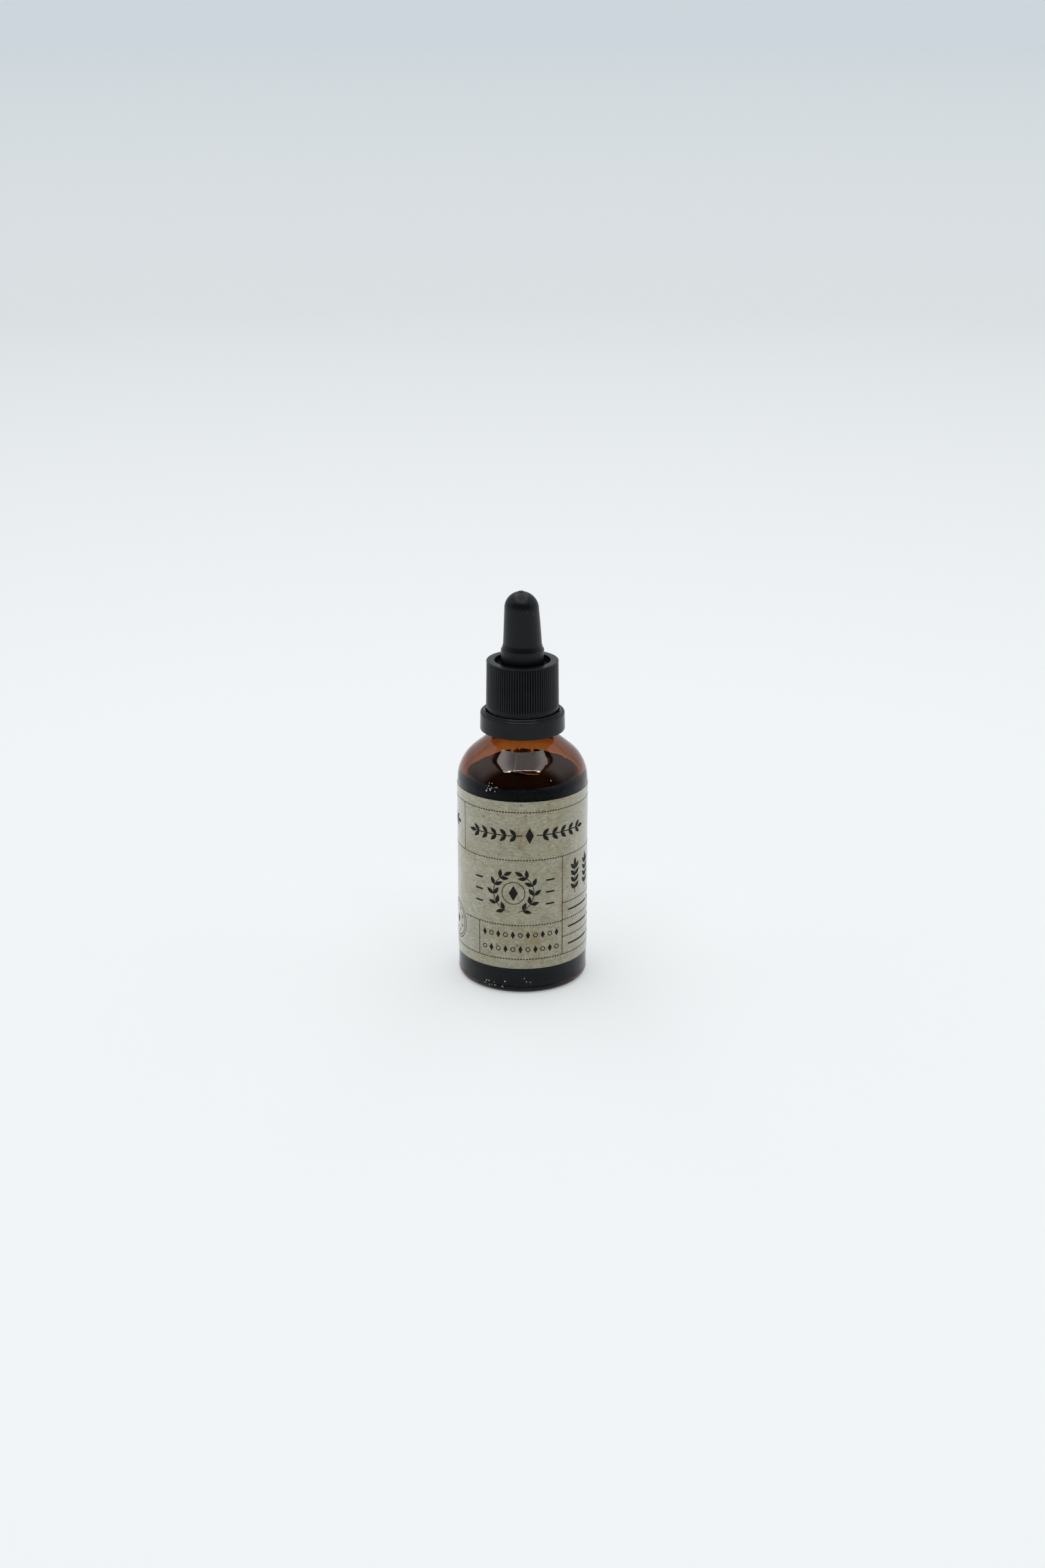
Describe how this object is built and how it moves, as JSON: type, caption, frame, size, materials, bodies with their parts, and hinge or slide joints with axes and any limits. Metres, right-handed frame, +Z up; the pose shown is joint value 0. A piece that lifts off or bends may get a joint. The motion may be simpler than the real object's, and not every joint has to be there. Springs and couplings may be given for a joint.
{
  "type": "bitters bottle",
  "caption": "Round amber glass dropper bottle with a ribbed screw cap, tamper ring, rubber teat, glass pipette and a paper label round its barrel.",
  "frame": {"origin": "centre of the circle that the bottle stands on, at the lowest point of its heel ring", "axes": "+Z up along the axis of the bottle, from the base to the teat; -Y towards the viewer of the picture, so the label's seam is behind"},
  "size_m": [0.0372, 0.0372, 0.114],
  "materials": {
    "amber_glass": "blown, smooth and glossy",
    "clear_glass": "drawn tube, fire polished ends",
    "bitters_liquid": "dark clear liquid",
    "label_paper": "uncoated grey kraft, handled and stained",
    "black_rubber": "moulded, satin",
    "black_polypropylene": "injection moulded, satin"
  },
  "bodies": {
    "bottle": {"bottle": "amber_glass", "label": "label_paper", "bitters": "bitters_liquid"},
    "dropper": {"teat": "black_rubber", "pipette": "clear_glass", "pipette_bitters": "bitters_liquid"},
    "cap": {"cap": "black_polypropylene"},
    "tamper_ring": {"tamper_ring": "black_polypropylene"}
  },
  "joints": [
    {"name": "dropper_lift", "type": "slide", "parent": "bottle", "child": "dropper", "axis": [0, 0, 1], "range_m": [0, 0.095]},
    {"name": "cap_turn", "type": "hinge", "parent": "dropper", "child": "cap", "pos_m": [0, 0, 0.0873], "axis": [0, 0, 1], "range_deg": [0, 360]},
    {"name": "tamper_ring_turn", "type": "hinge", "parent": "bottle", "child": "tamper_ring", "pos_m": [0, 0, 0.077], "axis": [0, 0, 1], "continuous": true}
  ]
}
